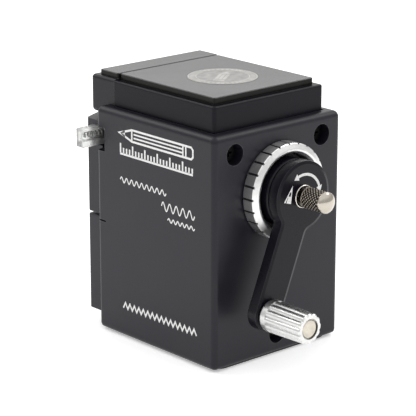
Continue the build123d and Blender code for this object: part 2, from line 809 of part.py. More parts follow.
# ================================================================ point adjuster
adjuster_radius = 4.55
adjuster_neck_radius = 3.5
adjuster_base_y = hub_front_y + 0.6
knurl_start_y = adjuster_base_y + 1.6
adjuster_rim_y = rear_y + 28.6
adjuster_end_y = rear_y + 30.5
knurl_count = 36
knurl_width = 0.25 * sqrt(2)
knurl_end_y = adjuster_rim_y - 1.6
shank_end_y = 35.6
shank_bore_end_y = 49.5
stop_bore_radius = 1.25
clip_y = (44.2, 45.0)
clip_groove_radius = 1.4
neck_bevel = 0.5
dome_height = adjuster_end_y - adjuster_rim_y
dome_radius = (adjuster_radius**2 + dome_height**2) / (2 * dome_height)
dome_half_angle = asin(adjuster_radius / dome_radius) / 2
dome_middle_y = adjuster_end_y - dome_radius * (1 - cos(dome_half_angle))

with BuildPart() as adjuster_knob:
    with BuildSketch(Plane.YZ) as adjuster_outline:
        with BuildLine():
            Polyline(
                (adjuster_end_y, axis_z),
                (shank_end_y, axis_z),
                (shank_end_y, axis_z + shank_radius),
                (adjuster_base_y, axis_z + shank_radius),
                (adjuster_base_y, axis_z + adjuster_neck_radius),
                (knurl_start_y, axis_z + adjuster_neck_radius),
                (knurl_start_y + neck_bevel, axis_z + adjuster_radius),
                (adjuster_rim_y, axis_z + adjuster_radius),
            )
            ThreePointArc(
                (adjuster_rim_y, axis_z + adjuster_radius),
                (dome_middle_y, axis_z + dome_radius * sin(dome_half_angle)),
                (adjuster_end_y, axis_z),
            )
        make_face()
    revolve(adjuster_outline.sketch, axis=crank_axis, revolution_arc=360)
    round_bar(0, axis_z, stop_bore_radius, shank_bore_end_y, shank_end_y, Mode.SUBTRACT)
    turned(
        [
            (clip_groove_radius, clip_y[0]),
            (shank_radius + overcut, clip_y[0]),
            (shank_radius + overcut, clip_y[1]),
            (clip_groove_radius, clip_y[1]),
        ],
        Mode.SUBTRACT,
    )
    # Straight knurl, from the neck to the smooth rim.
    with BuildSketch(crank_plane(knurl_end_y)):
        with PolarLocations(adjuster_radius, knurl_count):
            Rectangle(knurl_width, knurl_width, rotation=45)
    extrude(amount=knurl_end_y - knurl_start_y, mode=Mode.SUBTRACT)
finish(adjuster_knob.part, "adjuster_knob")

# Clip that keeps the adjuster in its bush.
clip_radius = 3.1
clip_mouth = (1.8, 3.4)
clip_mouth_start = 0.7
with BuildPart() as adjuster_clip:
    with BuildSketch(crank_plane(clip_y[1])):
        Circle(clip_radius)
        Circle(clip_groove_radius, mode=Mode.SUBTRACT)
        with Locations((0, clip_mouth_start + clip_mouth[1] / 2)):
            Rectangle(*clip_mouth, mode=Mode.SUBTRACT)
    extrude(amount=clip_y[1] - clip_y[0])
finish(adjuster_clip.part, "adjuster_clip")

# Stop rod: the flat end that the pencil's point meets; the adjuster moves it along.
stop_tip_y = 23.4
stop_shoulder_y = 34.0
stop_tail_y = 47.0
stop_radius = 1.6
stop_tail_radius = 1.05
with BuildPart() as stop_rod:
    with BuildSketch(crank_plane(stop_shoulder_y)):
        Circle(stop_radius)
        with Locations((0, (rod_flat - stop_radius) / 2)):
            Rectangle(3 * stop_radius, stop_radius + rod_flat, mode=Mode.INTERSECT)
    extrude(amount=stop_shoulder_y - stop_tip_y)
    round_bar(0, axis_z, stop_tail_radius, stop_tail_y, stop_shoulder_y)
finish(stop_rod.part, "stop_rod")

# ================================================================ cutter
pinion_hub_radius = 3.0
pinion_hub_reach = (-4.1, 5.0)
pinion_dedendum = 1.1 * tooth_module
pinion_addendum = 0.75 * tooth_module
pinion_root = pinion_pitch_radius - pinion_dedendum
pinion_foot = pinion_root - 0.6
pinion_tip = pinion_pitch_radius + pinion_addendum
flank_slope = 0.46
foot_slope = 0.2
with BuildPart() as cutter_pinion:
    tilted_bar(pinion_hub_radius, *pinion_hub_reach)
    tip_half_width = tooth_half - flank_slope * pinion_addendum
    root_half_width = tooth_half + foot_slope * pinion_dedendum
    with BuildSketch(tilted_plane(-pinion_width / 2)):
        Circle(pinion_root + running_gap)
        with PolarLocations(0, pinion_teeth, -90 + 180 / pinion_teeth):
            Polygon(
                (pinion_foot, -root_half_width),
                (pinion_tip, -tip_half_width),
                (pinion_tip, tip_half_width),
                (pinion_foot, root_half_width),
                align=None,
            )
    extrude(amount=pinion_width)
    bore_reach = (pinion_hub_reach[0] - overcut, pinion_hub_reach[1] + overcut)
    tilted_bar(axle_radius + running_gap, *bore_reach, Mode.SUBTRACT)
finish(cutter_pinion.part, "cutter_pinion")

# Helical cutter: hooked teeth twisted along its length, made upright and then set on the axle.
cutter_foot_radius = cutter_root_radius - 0.3
flute_back = 0.9
flute_front = 0.35
land_half_width = 0.15
with BuildSketch(Plane.XY) as cutter_section:
    Circle(cutter_root_radius)
    with PolarLocations(0, cutter_flutes):
        Polygon(
            (cutter_foot_radius, -flute_back),
            (cutter_radius, -land_half_width),
            (cutter_radius, land_half_width),
            (cutter_foot_radius, flute_front),
            align=None,
        )
cutter_blank = Solid.extrude_linear_with_rotation(
    cutter_section.face(),
    (0, 0, 0),
    (0, 0, cutter_end - cutter_start),
    cutter_twist,
)
with BuildPart() as helical_cutter:
    add(cutter_blank.moved(tilted_plane(cutter_start).location))
    tilted_bar(axle_radius + running_gap, cutter_start - overcut, cutter_end + overcut, Mode.SUBTRACT)
    tilted_bar(pinion_hub_radius, cutter_start - overcut, pinion_hub_reach[1], Mode.SUBTRACT)
finish(helical_cutter.part, "helical_cutter")

# ================================================================ feed head
block_rear_y = seam_y - 0.3
pocket_front_y = -45.0
head_rear_y = front_y - 0.1
cover_y = (head_rear_y, -36.3)
chuck_half_width = 21.0
block_corner = 2.0
block_bottom_edge = 1.9
block_top_edge = 1.6
block_hollow = ((-28.6, 28.6), (-44.6, block_rear_y), (99.4, 110.6))
plate_edge_round = 0.9
plate_foot_round = 0.7
pocket_z = (64.5, 85.6)
channel_start = 22.2
way_gap = 0.3
slider_way_end = 32.0
corner_start = 8.0
corner_wall = 2.2
corner_top_z = 62.6
rod_boss_radius = 4.2
mouth_flare = 1.4
cover_screw_radius = 1.0
cover_screw_places = [(-18.0, 62.0), (18.0, 62.0), (-18.0, 89.0), (18.0, 89.0)]

# Grip block: the upper part of the head, which reaches back to the seam with the hood.
with BuildPart() as grip_block:
    with BuildSketch(Plane.XY.offset(block_bottom_z)):
        with Locations((0, (block_front_y + block_rear_y) / 2)):
            Rectangle(2 * hood_half_width, block_rear_y - block_front_y)
    extrude(amount=block_top_z - block_bottom_z)
    fillet(grip_block.edges().filter_by(Axis.Z).group_by(Axis.Y)[0], block_corner)
    fillet(grip_block.faces().sort_by(Axis.Z)[0].edges().sort_by(Axis.Y)[:-1], block_bottom_edge)
    fillet(grip_block.faces().sort_by(Axis.Z)[-1].edges().sort_by(Axis.Y)[:-1], block_top_edge)
    box_between(*block_hollow, Mode.SUBTRACT)
finish(grip_block.part, "grip_block")

with BuildPart() as feed_head:
    # Face plate with an arched top, cut level where the grip block stands on it.
    arch_centre_z = plate_corner_z - sqrt(plate_arch_radius**2 - plate_half_width**2)
    arch_top_z = arch_centre_z + plate_arch_radius
    with BuildSketch(upright_plane(head_rear_y)):
        with BuildLine():
            Polyline(
                (-plate_half_width, plate_corner_z),
                (-plate_half_width, plate_bottom_z),
                (plate_half_width, plate_bottom_z),
                (plate_half_width, plate_corner_z),
            )
            ThreePointArc(
                (plate_half_width, plate_corner_z),
                (0, arch_top_z),
                (-plate_half_width, plate_corner_z),
            )
        make_face()
    extrude(amount=head_rear_y - head_front_y)
    fillet(feed_head.edges().filter_by(Axis.Z).group_by(Axis.Y)[0], plate_edge_round)
    foot_edge = feed_head.edges().filter_by(Axis.X).group_by(Axis.Z)[0].sort_by(Axis.Y)[0]
    fillet(foot_edge, plate_foot_round)
    box_between(
        (-plate_half_width, plate_half_width),
        (head_front_y, head_rear_y),
        (block_bottom_z, arch_top_z + overcut),
        Mode.SUBTRACT,
    )
    # Pocket for the clamp, and a channel to each side for the sliders and the buttons.
    box_between(
        (-chuck_half_width, chuck_half_width),
        (pocket_front_y, head_rear_y),
        pocket_z,
        Mode.SUBTRACT,
    )
    for side in (-1, 1):
        way_y = (button_front_y - way_gap, head_rear_y)
        channel = sorted((side * channel_start, side * (plate_half_width + overcut)))
        box_between(channel, way_y, (button_bottom_z - way_gap, button_top_z + way_gap), Mode.SUBTRACT)
        slider_way = sorted((side * (chuck_half_width - overcut), side * slider_way_end))
        box_between(slider_way, way_y, (slider_bar_z[0] - way_gap, pocket_z[1]), Mode.SUBTRACT)
        # Bosses in hollowed corners hold the guide rods.
        corner = sorted((side * corner_start, side * (plate_half_width - corner_wall)))
        corner_z = (plate_bottom_z + corner_wall, corner_top_z)
        box_between(corner, (pocket_front_y, head_rear_y), corner_z, Mode.SUBTRACT)
        round_bar(side * rod_x, rod_z, rod_boss_radius, head_rear_y, pocket_front_y - overcut)
        round_bar(side * rod_x, rod_z, rod_radius, head_rear_y, rod_front_y, Mode.SUBTRACT)
    # Pencil hole with a countersunk mouth.
    round_bar(0, axis_z, pencil_hole_radius, head_rear_y, head_front_y - overcut, Mode.SUBTRACT)
    turned(
        [
            (0, head_front_y - overcut),
            (pencil_hole_radius + mouth_flare + overcut, head_front_y - overcut),
            (pencil_hole_radius, head_front_y + mouth_flare),
            (0, head_front_y + mouth_flare),
        ],
        Mode.SUBTRACT,
    )
    for x, z in cover_screw_places:
        round_bar(x, z, cover_screw_radius, head_rear_y, pocket_front_y + overcut, Mode.SUBTRACT)
finish(feed_head.part, "feed_head")

# Tile on the grip block.
with BuildPart() as head_tile:
    head_tile_rear_y = panel_front_y - tile_gap
    with BuildSketch(Plane.XY.offset(block_top_z)):
        with Locations((0, (head_tile_front_y + head_tile_rear_y) / 2)):
            RectangleRounded(2 * head_tile_half_width, head_tile_rear_y - head_tile_front_y, tile_corner)
    extrude(amount=tile_top_z - block_top_z)
    chamfer(head_tile.faces().sort_by(Axis.Z)[-1].edges(), tile_bevel)
finish(head_tile.part, "head_tile")

# Cover that holds the clamp sliders in the head, and its four screws.
cover_width = 44.0
cover_z = (59.5, 92.0)
cover_corner = 2.0
cover_hole_radius = 1.4
cover_screw_end_y = pocket_front_y + 1.5
cover_head_radius = 2.2
cover_head_height = 0.5

with BuildPart() as chuck_cover:
    with BuildSketch(upright_plane(cover_y[1])):
        with Locations((0, (cover_z[0] + cover_z[1]) / 2)):
            RectangleRounded(cover_width, cover_z[1] - cover_z[0], cover_corner)
        with Locations((0, axis_z)):
            Circle(pencil_hole_radius, mode=Mode.SUBTRACT)
        with Locations(*cover_screw_places):
            Circle(cover_hole_radius, mode=Mode.SUBTRACT)
    extrude(amount=cover_y[1] - cover_y[0])
finish(chuck_cover.part, "chuck_cover")

with BuildPart() as chuck_cover_screws:
    for x, z in cover_screw_places:
        round_bar(x, z, cover_screw_radius, cover_y[1], cover_screw_end_y)
        round_bar(x, z, cover_head_radius, cover_y[1] + cover_head_height, cover_y[1])
finish(chuck_cover_screws.part, "chuck_cover_screws")

# Two guide rods, each with a clip at its inner end.
clip_width = 1.0
clip_groove_depth = 0.5
rod_clip_radius = 4.2
rod_clip_mouth = (2.4, 4.0)

with BuildPart() as guide_rods:
    for side in (-1, 1):
        round_bar(side * rod_x, rod_z, rod_radius, rod_rear_y, rod_front_y)
        with BuildSketch(upright_plane(rod_clip_y + clip_width)) as groove:
            with Locations((side * rod_x, rod_z)):
                Circle(rod_radius)
                Circle(rod_radius - clip_groove_depth, mode=Mode.SUBTRACT)
        extrude(groove.sketch, amount=clip_width, mode=Mode.SUBTRACT)
finish(guide_rods.part, "guide_rods")

with BuildPart() as rod_clips:
    for side in (-1, 1):
        with BuildSketch(upright_plane(rod_clip_y + clip_width)) as clip:
            with Locations((side * rod_x, rod_z)):
                Circle(rod_clip_radius)
                Circle(rod_radius - clip_groove_depth, mode=Mode.SUBTRACT)
            with Locations((side * rod_x, rod_z + overcut + rod_clip_mouth[1] / 2)):
                Rectangle(*rod_clip_mouth, mode=Mode.SUBTRACT)
        extrude(clip.sketch, amount=clip_width)
finish(rod_clips.part, "rod_clips")


def coil(start, direction, length, coil_radius, wire_radius, pitch):
    """Adds a coil spring that starts at a point and runs along a direction."""
    with BuildLine() as path:
        Helix(pitch, length, coil_radius, center=start, direction=direction)
    with BuildSketch(Plane(origin=path.line @ 0, z_dir=path.line % 0)) as section:
        Circle(wire_radius)
    sweep(section.sketch, path=path.line)


# Two return springs round the guide rods.
return_spring = {"coil_radius": 2.8, "wire_radius": 0.35, "pitch": 2.9}
spring_seat = 0.5

with BuildPart() as return_springs:
    spring_length = rod_clip_y - bush_rear_y - 2 * spring_seat
    for side in (-1, 1):
        spring_start = (side * rod_x, bush_rear_y + spring_seat, rod_z)
        coil(spring_start, (0, 1, 0), spring_length, **return_spring)
finish(return_springs.part, "return_springs")

# ================================================================ clamps
spring_x = (22.6, 40.9)
spring_z = 88.3
spring_y = -41.4
clamp_coil = {"coil_radius": 1.05, "wire_radius": 0.25, "pitch": 1.8}
slider_end = 31.5
leg_reach = (10.5, 14.5)
clamp_leg_bottom_z = 66.0
jaw_tip_x = 2.0
jaw_notch_x = 6.6
jaw_root_half = 6.4
jaw_tip_half = 5.4
button_edge = 1.1
button_slot_start = 26.0
right_layer_y = (-44.4, -42.5)
left_layer_y = (-42.2, -40.3)


def clamp_slider(side, layer_y):
    """Flat slider: a bar over the pencil hole, a leg beyond it, and a jaw that points back."""
    outer = side * slider_end
    leg_outer = -side * leg_reach[1]
    leg_inner = -side * leg_reach[0]
    jaw_tip = -side * jaw_tip_x
    notch = -side * jaw_notch_x
    box_between(sorted((outer, leg_outer)), layer_y, slider_bar_z)
    box_between(sorted((leg_outer, leg_inner)), layer_y, (clamp_leg_bottom_z, slider_bar_z[1]))
    with BuildSketch(upright_plane(layer_y[1])) as jaw:
        with BuildLine():
            Polyline(
                (leg_inner, axis_z + jaw_root_half),
                (jaw_tip, axis_z + jaw_tip_half),
                (notch, axis_z),
                (jaw_tip, axis_z - jaw_tip_half),
                (leg_inner, axis_z - jaw_root_half),
                close=True,
            )
        make_face()
    extrude(jaw.sketch, amount=layer_y[1] - layer_y[0])


for side, hand, layer_y in ((1, "right", right_layer_y), (-1, "left", left_layer_y)):
    with BuildPart() as slider:
        clamp_slider(side, layer_y)
    finish(slider.part, "clamp_slider_" + hand)

    with BuildPart() as button:
        block_x = sorted((side * button_inner_x, side * button_outer_x))
        box_between(block_x, (button_front_y, button_rear_y), (button_bottom_z, button_top_z))
        outer_edges = button.faces().sort_by(Axis.X)[-1 if side > 0 else 0].edges()
        fillet(outer_edges, button_edge)
        hollow_x = sorted((side * (button_inner_x - overcut), side * (button_outer_x - button_wall)))
        hollow_y = (button_front_y + button_wall, button_rear_y + overcut)
        box_between(hollow_x, hollow_y, (pocket_z[1], button_top_z - button_wall), Mode.SUBTRACT)
        slot_x = sorted((side * button_slot_start, side * slider_end))
        box_between(slot_x, layer_y, slider_bar_z, Mode.SUBTRACT)
    finish(button.part, "clamp_button_" + hand)

    with BuildPart() as clamp_spring:
        start = (side * spring_x[0], spring_y, spring_z)
        coil(start, (side, 0, 0), spring_x[1] - spring_x[0] - spring_seat, **clamp_coil)
    finish(clamp_spring.part, "clamp_spring_" + hand)

# ================================================================ drawer
drawer_corner = 3.0
drawer_bottom = 3.3
drawer_hollow_front_y = -43.6
scoop_z = 38.0
scoop_size = (30.0, 11.0)
scoop_depth = 2.4

with BuildPart() as shavings_drawer:
    box_between(
        (-plate_half_width, plate_half_width),
        (head_front_y, head_rear_y),
        (drawer_front_bottom_z, drawer_front_top_z),
    )
    front_corners = shavings_drawer.edges().filter_by(Axis.Z).group_by(Axis.Y)[0]
    fillet(front_corners, plate_edge_round)
    fillet(shavings_drawer.edges().filter_by(Axis.X).group_by(Axis.Y)[0], plate_foot_round)
    box_between(
        (-drawer_half_width, drawer_half_width),
        (head_rear_y - overcut, drawer_rear_y),
        (drawer_bottom_z, drawer_top_z),
    )
    fillet(shavings_drawer.edges().filter_by(Axis.Z).group_by(Axis.Y)[-1], drawer_corner)
    box_between(
        (-drawer_half_width + drawer_wall, drawer_half_width - drawer_wall),
        (drawer_hollow_front_y, drawer_rear_y - drawer_wall),
        (drawer_bottom_z + drawer_bottom, drawer_front_top_z + overcut),
        Mode.SUBTRACT,
    )
    # Finger scoop in the front.
    with BuildSketch(upright_plane(head_front_y)):
        with Locations((0, scoop_z)):
            SlotOverall(*scoop_size)
    extrude(amount=-scoop_depth, mode=Mode.SUBTRACT)
finish(shavings_drawer.part, "shavings_drawer")
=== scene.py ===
"""Looks for the hand-cranked pencil sharpener: materials, printed marks, turned and moulded detail,
camera and light. Metres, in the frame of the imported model."""
import json
from math import asin, cos, hypot, pi, radians, sin

import bmesh
import bpy
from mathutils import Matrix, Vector


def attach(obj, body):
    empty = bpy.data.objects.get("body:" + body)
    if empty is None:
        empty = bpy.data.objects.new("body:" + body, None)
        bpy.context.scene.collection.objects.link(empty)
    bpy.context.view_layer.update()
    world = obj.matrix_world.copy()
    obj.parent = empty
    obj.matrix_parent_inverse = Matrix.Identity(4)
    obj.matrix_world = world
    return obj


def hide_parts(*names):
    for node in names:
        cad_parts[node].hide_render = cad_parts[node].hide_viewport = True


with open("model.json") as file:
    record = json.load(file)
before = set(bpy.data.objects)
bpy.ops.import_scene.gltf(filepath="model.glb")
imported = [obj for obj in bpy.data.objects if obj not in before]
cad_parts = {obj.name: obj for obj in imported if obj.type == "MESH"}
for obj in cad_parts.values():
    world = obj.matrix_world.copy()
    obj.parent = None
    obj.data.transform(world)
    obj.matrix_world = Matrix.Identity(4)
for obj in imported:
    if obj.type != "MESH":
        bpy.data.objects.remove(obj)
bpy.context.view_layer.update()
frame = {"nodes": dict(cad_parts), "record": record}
nodes = frame["nodes"]

# ---------------------------------------------------------------- sizes, in millimetres
MM = 0.001
PER_METRE = 1000.0
AXIS_Z = 73.6

# Adjuster: radii, then places along the crank axis, then the knurl.
SHANK, BORE, NECK, KNOB = 1.95, 1.25, 3.5, 4.53
SHANK_START, BORE_END, NECK_START, NECK_END = 35.6, 49.5, 53.7, 55.3
FLARE_START, FLARE_END = 55.35, 55.8
KNURL_START, KNURL_END, RIM_Y, KNOB_END_Y = 55.9, 65.2, 66.7, 68.6
KNURL_TEETH, KNURL_LEAD, KNURL_DEPTH, KNURL_FADE = 18, 28.0, 0.36, 0.3
KNURL_ROWS, DOME_ROWS = 100, 12

# Faces that carry printed marks.
HOUSING_SIDE_X = 36.1
HUB_FACE_Y = 53.1
EMBLEM_TOP_Z = 115.46

# Pencil and ruler on the side: the pencil's ends along y, and its height.
PENCIL_TIP, CONE_END, PENCIL_END = -22, -14, 25
PENCIL_TOP, PENCIL_BOTTOM = 95.0, 90.0
RULER_BASE, RULER_TICKS = 83.4, 24

# Turning arrow on the hub: radius of its arc and size of its heads.
ARROW_RADIUS, ARROW_WIDTH = 9.3, 1.15
HEAD_BACK, HEAD_HALF, HEAD_LENGTH = 0.6, 1.6, 2.5

# Emblem.
EMBLEM_CENTRE, EMBLEM_RADIUS, EMBLEM_SIDES = (-0.8, 2.3), 15.0, 96
EMBLEM_TURN, EMBLEM_TICKS = 35, 40


# ---------------------------------------------------------------- node trees
class Look:
    """A material under construction: makes nodes, links them and keeps the shader at hand."""

    def __init__(self, name, **values):
        self.material = bpy.data.materials.new(name)
        self.material.use_nodes = True
        self.tree = self.material.node_tree
        self.shader = self.tree.nodes["Principled BSDF"]
        for key, value in values.items():
            self.set(self.shader, key.replace("_", " "), value)

    def set(self, node, socket, value):
        """Gives a socket a plain value."""
        target = node.inputs[socket]
        if target.type == "RGBA":
            value = (*value, 1.0)
        target.default_value = value

    def add(self, kind, inputs=None, **settings):
        """Makes a node; an input is a plain value, or the output of another node."""
        node = self.tree.nodes.new("ShaderNode" + kind)
        for key, value in settings.items():
            setattr(node, key, value)
        for key, value in (inputs or {}).items():
            if isinstance(value, bpy.types.NodeSocket):
                self.tree.links.new(value, node.inputs[key])
            else:
                self.set(node, key, value)
        return node

    def link(self, output, socket):
        """Feeds a shader input from a node's output."""
        self.tree.links.new(output, self.shader.inputs[socket])

    def place(self, stretch=(1.0, 1.0, 1.0)):
        """Object coordinates in millimetres, stretched where a finish has a direction."""
        where = self.add("TexCoord").outputs["Object"]
        size = tuple(PER_METRE * s for s in stretch)
        mapping = self.add("Mapping", {"Vector": where})
        mapping.inputs["Scale"].default_value = size
        return mapping.outputs["Vector"]

    def noise(self, vector, scale, detail=3.0, rough=0.55):
        """Noise with features of about 1/scale of the vector's unit."""
        inputs = {"Vector": vector, "Scale": scale, "Detail": detail, "Roughness": rough}
        return self.add("TexNoise", inputs).outputs["Fac"]

    def spread(self, value, low, high, start=0.3, end=0.7):
        """Maps a value from one range to another, held at both ends."""
        inputs = {"Value": value, "From Min": start, "From Max": end, "To Min": low, "To Max": high}
        return self.add("MapRange", inputs).outputs["Result"]

    def sum(self, first, second, operation="ADD"):
        """Two values put together."""
        return self.add("Math", {0: first, 1: second}, operation=operation).outputs["Value"]

    def tint(self, factor, first, second):
        """Mixes two colours."""
        mix = self.add("Mix", data_type="RGBA")
        self.tree.links.new(factor, mix.inputs["Factor"])
        for socket, colour in (("A", first), ("B", second)):
            target = [i for i in mix.inputs if i.name == socket and i.type == "RGBA"][0]
            if isinstance(colour, bpy.types.NodeSocket):
                self.tree.links.new(colour, target)
            else:
                target.default_value = (*colour, 1.0)
        return [o for o in mix.outputs if o.type == "RGBA"][0]

    def edges(self, radius=0.5, low=0.90, high=0.995):
        """One on convex and concave edges, nought on open faces; radius in millimetres."""
        rounded = self.add("Bevel", {"Radius": radius * MM}, samples=4).outputs["Normal"]
        true = self.add("NewGeometry").outputs["Normal"]
        agree = self.add("VectorMath", {0: rounded, 1: true}, operation="DOT_PRODUCT").outputs["Value"]
        return self.spread(agree, 1.0, 0.0, low, high)

    def bump(self, height, distance, strength):
        """Raises the surface by a height map; distance is in metres."""
        inputs = {"Height": height, "Distance": distance, "Strength": strength}
        return self.add("Bump", inputs).outputs["Normal"]


def moulded(name, colour, roughness, grain=0.9, grain_depth=0.010, specular=0.5, edge_wear_and_highlight=0.085, edge=0.4):
    """Moulded black plastic: spark-eroded grain, faint flow clouds, fine rubs, and edges lighter partly from
    wear and partly as a painted highlight.
    """
    look = Look(name, Roughness=roughness, Specular_IOR_Level=specular, IOR=1.5)
    where = look.place()
    clouds = look.noise(where, 0.045, 4.0)
    grain_map = look.noise(where, 1.0 / grain * 2.0, 2.0, 0.5)
    rubs = look.noise(look.place(stretch=(1.0, 1.0, 0.12)), 0.5, 4.0, 0.7)
    lighter = tuple(c * 1.25 + 0.001 for c in colour)
    # Edge colour: wear polish plus a painted highlight standing in for the light that rounded edges catch.
    polished_and_highlit = tuple(c * 2.0 + edge_wear_and_highlight for c in colour)
    worn_and_highlit_edge = look.sum(look.edges(edge), look.spread(rubs, 0.45, 1.0, 0.35, 0.6), "MULTIPLY")
    ground = look.tint(look.spread(clouds, 0.0, 1.0), colour, lighter)
    look.link(look.tint(worn_and_highlit_edge, ground, polished_and_highlit), "Base Color")
    varied = look.spread(clouds, roughness - 0.04, roughness + 0.05)
    wear_and_sheen = look.spread(rubs, 0.0, -0.07, 0.6, 0.75)
    look.link(look.sum(varied, wear_and_sheen), "Roughness")
    look.link(look.bump(grain_map, grain_depth * MM, 0.6), "Normal")
    return look.material


def metal(name, colour, roughness, lines=None, depth=0.004, shade=0.8, edges=True):
    """Bare or plated metal: fine tool lines along one direction, soft stains, small dents of wear, and edges
    brightened partly as wear polish and partly as a painted highlight.
    """
    look = Look(name, Metallic=1.0, Roughness=roughness)
    where = look.place()
    stains = look.noise(where, 0.25, 4.0)
    darker = tuple(c * shade for c in colour)
    ground = look.tint(look.spread(stains, 0.0, 1.0, 0.35, 0.75), colour, darker)
    # Lighter edges: wear polish plus a painted highlight.
    polish_and_highlight = tuple(min(1.0, c * 1.12) for c in colour)
    look.link(look.tint(look.edges(0.25), ground, polish_and_highlight) if edges else ground, "Base Color")
    fine = look.noise(look.place(stretch=lines or (1.0, 1.0, 1.0)), 3.0, 3.0, 0.6)
    varied = look.spread(stains, roughness - 0.04, roughness + 0.08)
    look.link(look.sum(varied, look.spread(fine, -0.04, 0.04)), "Roughness")
    look.link(look.bump(fine, depth * MM, 0.5), "Normal")
    return look.material


def clear_plastic():
    """Clear button plastic: smooth, a little milky, with moulding ripples."""
    look = Look(
        "clear_plastic",
        Base_Color=(0.93, 0.94, 0.92),
        Roughness=0.32,
        IOR=1.49,
        Transmission_Weight=0.78,
    )
    where = look.place()
    clouds = look.noise(where, 0.35, 3.0)
    look.link(look.spread(clouds, 0.26, 0.40), "Roughness")
    look.link(look.bump(look.noise(where, 0.6, 2.0), 0.03 * MM, 0.5), "Normal")
    return look.material


def knurled_nickel():
    """Nickel of the adjuster: painted shade, with some dirt, darkening the knurled part below its crests; a
    clean polished dome.
    """
    look = Look("nickel_knurled", Metallic=1.0)
    where = look.place()
    height = look.add("SeparateXYZ", {"Vector": where}).outputs["Y"]
    clean = look.spread(height, 0.0, 1.0, 65.0, 66.2)
    stains = look.noise(where, 0.7, 4.0)
    flat = look.add("VectorMath", {0: where, 1: (1.0, 0.0, 1.0)}, operation="MULTIPLY").outputs["Vector"]
    centre = look.add("VectorMath", {0: flat, 1: (0.0, 0.0, AXIS_Z)}, operation="SUBTRACT")
    radius = look.add("VectorMath", {0: centre.outputs["Vector"]}, operation="LENGTH").outputs["Value"]
    # Dark colour below the knurl crests: painted shade with some dirt, standing in for the dark reflections
    # of the facets.
    dirt_and_shade = look.tint(look.spread(stains, 0.0, 1.0), (0.014, 0.012, 0.010), (0.032, 0.028, 0.024))
    crest = look.spread(radius, 0.0, 1.0, KNOB - 0.14, KNOB - 0.01)
    ridges = look.tint(crest, dirt_and_shade, (0.50, 0.44, 0.37))
    look.link(look.tint(clean, ridges, (0.50, 0.46, 0.40)), "Base Color")
    stained, polish = look.spread(stains, 0.26, 0.36), look.spread(clean, 0.0, -0.14, 0.0, 1.0)
    look.link(look.sum(stained, polish), "Roughness")
    fine = look.noise(look.place(stretch=(1.0, 8.0, 1.0)), 3.0, 3.0, 0.6)
    look.link(look.bump(fine, 0.004 * MM, 0.5), "Normal")
    return look.material


def banded(name, colour, roughness, lines, dark, bands):
    """A turned part about the crank axis with painted shade darkening some bands, and edges lighter partly
    from wear and partly as a painted highlight: each band is a radius and a y range.
    """
    look = Look(name, Metallic=1.0, Roughness=roughness)
    where = look.place()
    split = look.add("SeparateXYZ", {"Vector": where}).outputs
    height = look.sum(split["Z"], AXIS_Z, "SUBTRACT")
    squares = look.sum(look.sum(split["X"], 2.0, "POWER"), look.sum(height, 2.0, "POWER"))
    radius = look.sum(squares, 0.5, "POWER")
    # Painted shade: bands lying in grooves and gaps are mixed towards the dark colour.
    painted_shade = 0.0
    for low, high, start, end in bands:
        inside = look.sum(look.spread(radius, 0.0, 1.0, low - 0.04, low + 0.04),
                          look.spread(radius, 1.0, 0.0, high - 0.04, high + 0.04), "MULTIPLY")
        along = look.sum(look.spread(split["Y"], 0.0, 1.0, start - 0.05, start + 0.05),
                         look.spread(split["Y"], 1.0, 0.0, end - 0.05, end + 0.05), "MULTIPLY")
        painted_shade = look.sum(look.sum(inside, along, "MULTIPLY"), painted_shade)
    stains = look.noise(where, 0.5, 4.0)
    ground = look.tint(look.spread(stains, 0.0, 1.0), colour, tuple(c * 0.86 for c in colour))
    # Lighter edges: wear polish plus a painted highlight.
    highlit_edges = look.tint(look.edges(0.35), ground, tuple(min(1.0, c * 1.2) for c in colour))
    look.link(look.tint(painted_shade, highlit_edges, dark), "Base Color")
    fine = look.noise(look.place(stretch=lines), 3.0, 3.0, 0.6)
    look.link(look.spread(fine, roughness - 0.05, roughness + 0.06), "Roughness")
    look.link(look.bump(fine, 0.004 * MM, 0.5), "Normal")
    return look.material


def rubber():
    """Mat rubber: dull black with a pebbled face."""
    look = Look("mat_rubber", Roughness=0.85, Specular_IOR_Level=0.3)
    where = look.place()
    cells = look.add("TexVoronoi", {"Vector": where, "Scale": 0.9}).outputs["Distance"]
    clouds = look.noise(where, 0.08, 4.0)
    dark = look.tint(look.spread(clouds, 0.0, 1.0), (0.010, 0.010, 0.010), (0.022, 0.021, 0.020))
    look.link(dark, "Base Color")
    look.link(look.spread(clouds, 0.78, 0.95), "Roughness")
    look.link(look.bump(cells, 0.06 * MM, 0.7), "Normal")
    return look.material


def tile_finish():
    """Top tiles: smooth dark plastic with a fine satin polish."""
    look = Look("tile_plastic", Roughness=0.2, Specular_IOR_Level=0.4, IOR=1.5)
    where = look.place()
    clouds = look.noise(where, 0.06, 4.0)
    fine = look.noise(where, 2.6, 2.0)
    dark = look.tint(look.spread(clouds, 0.0, 1.0), (0.0080, 0.0078, 0.0070), (0.0115, 0.0112, 0.0100))
    # Tile edges lighter: wear plus a painted highlight.
    wear_and_sheen = look.tint(look.sum(look.edges(0.3), 0.5, "MULTIPLY"), dark, (0.09, 0.088, 0.084))
    look.link(wear_and_sheen, "Base Color")
    look.link(look.spread(clouds, 0.20, 0.27), "Roughness")
    # Polished on top, dull on the moulded sides.
    normal = look.add("NewGeometry").outputs["Normal"]
    upward = look.add("SeparateXYZ", {"Vector": normal}).outputs["Z"]
    look.link(look.spread(upward, 0.10, 0.40, 0.5, 0.95), "Specular IOR Level")
    look.link(look.bump(fine, 0.0025 * MM, 0.5), "Normal")
    return look.material


def ink():
    """White pad-printed ink, with slightly uneven cover."""
    look = Look("print_ink", Roughness=0.45)
    where = look.place()
    cover = look.noise(where, 1.3, 3.0)
    white = look.tint(look.spread(cover, 0.0, 1.0), (0.80, 0.80, 0.79), (0.62, 0.62, 0.61))
    look.link(white, "Base Color")
    look.link(look.spread(cover, 0.38, 0.55), "Roughness")
    look.link(look.bump(cover, 0.004 * MM, 0.5), "Normal")
    return look.material


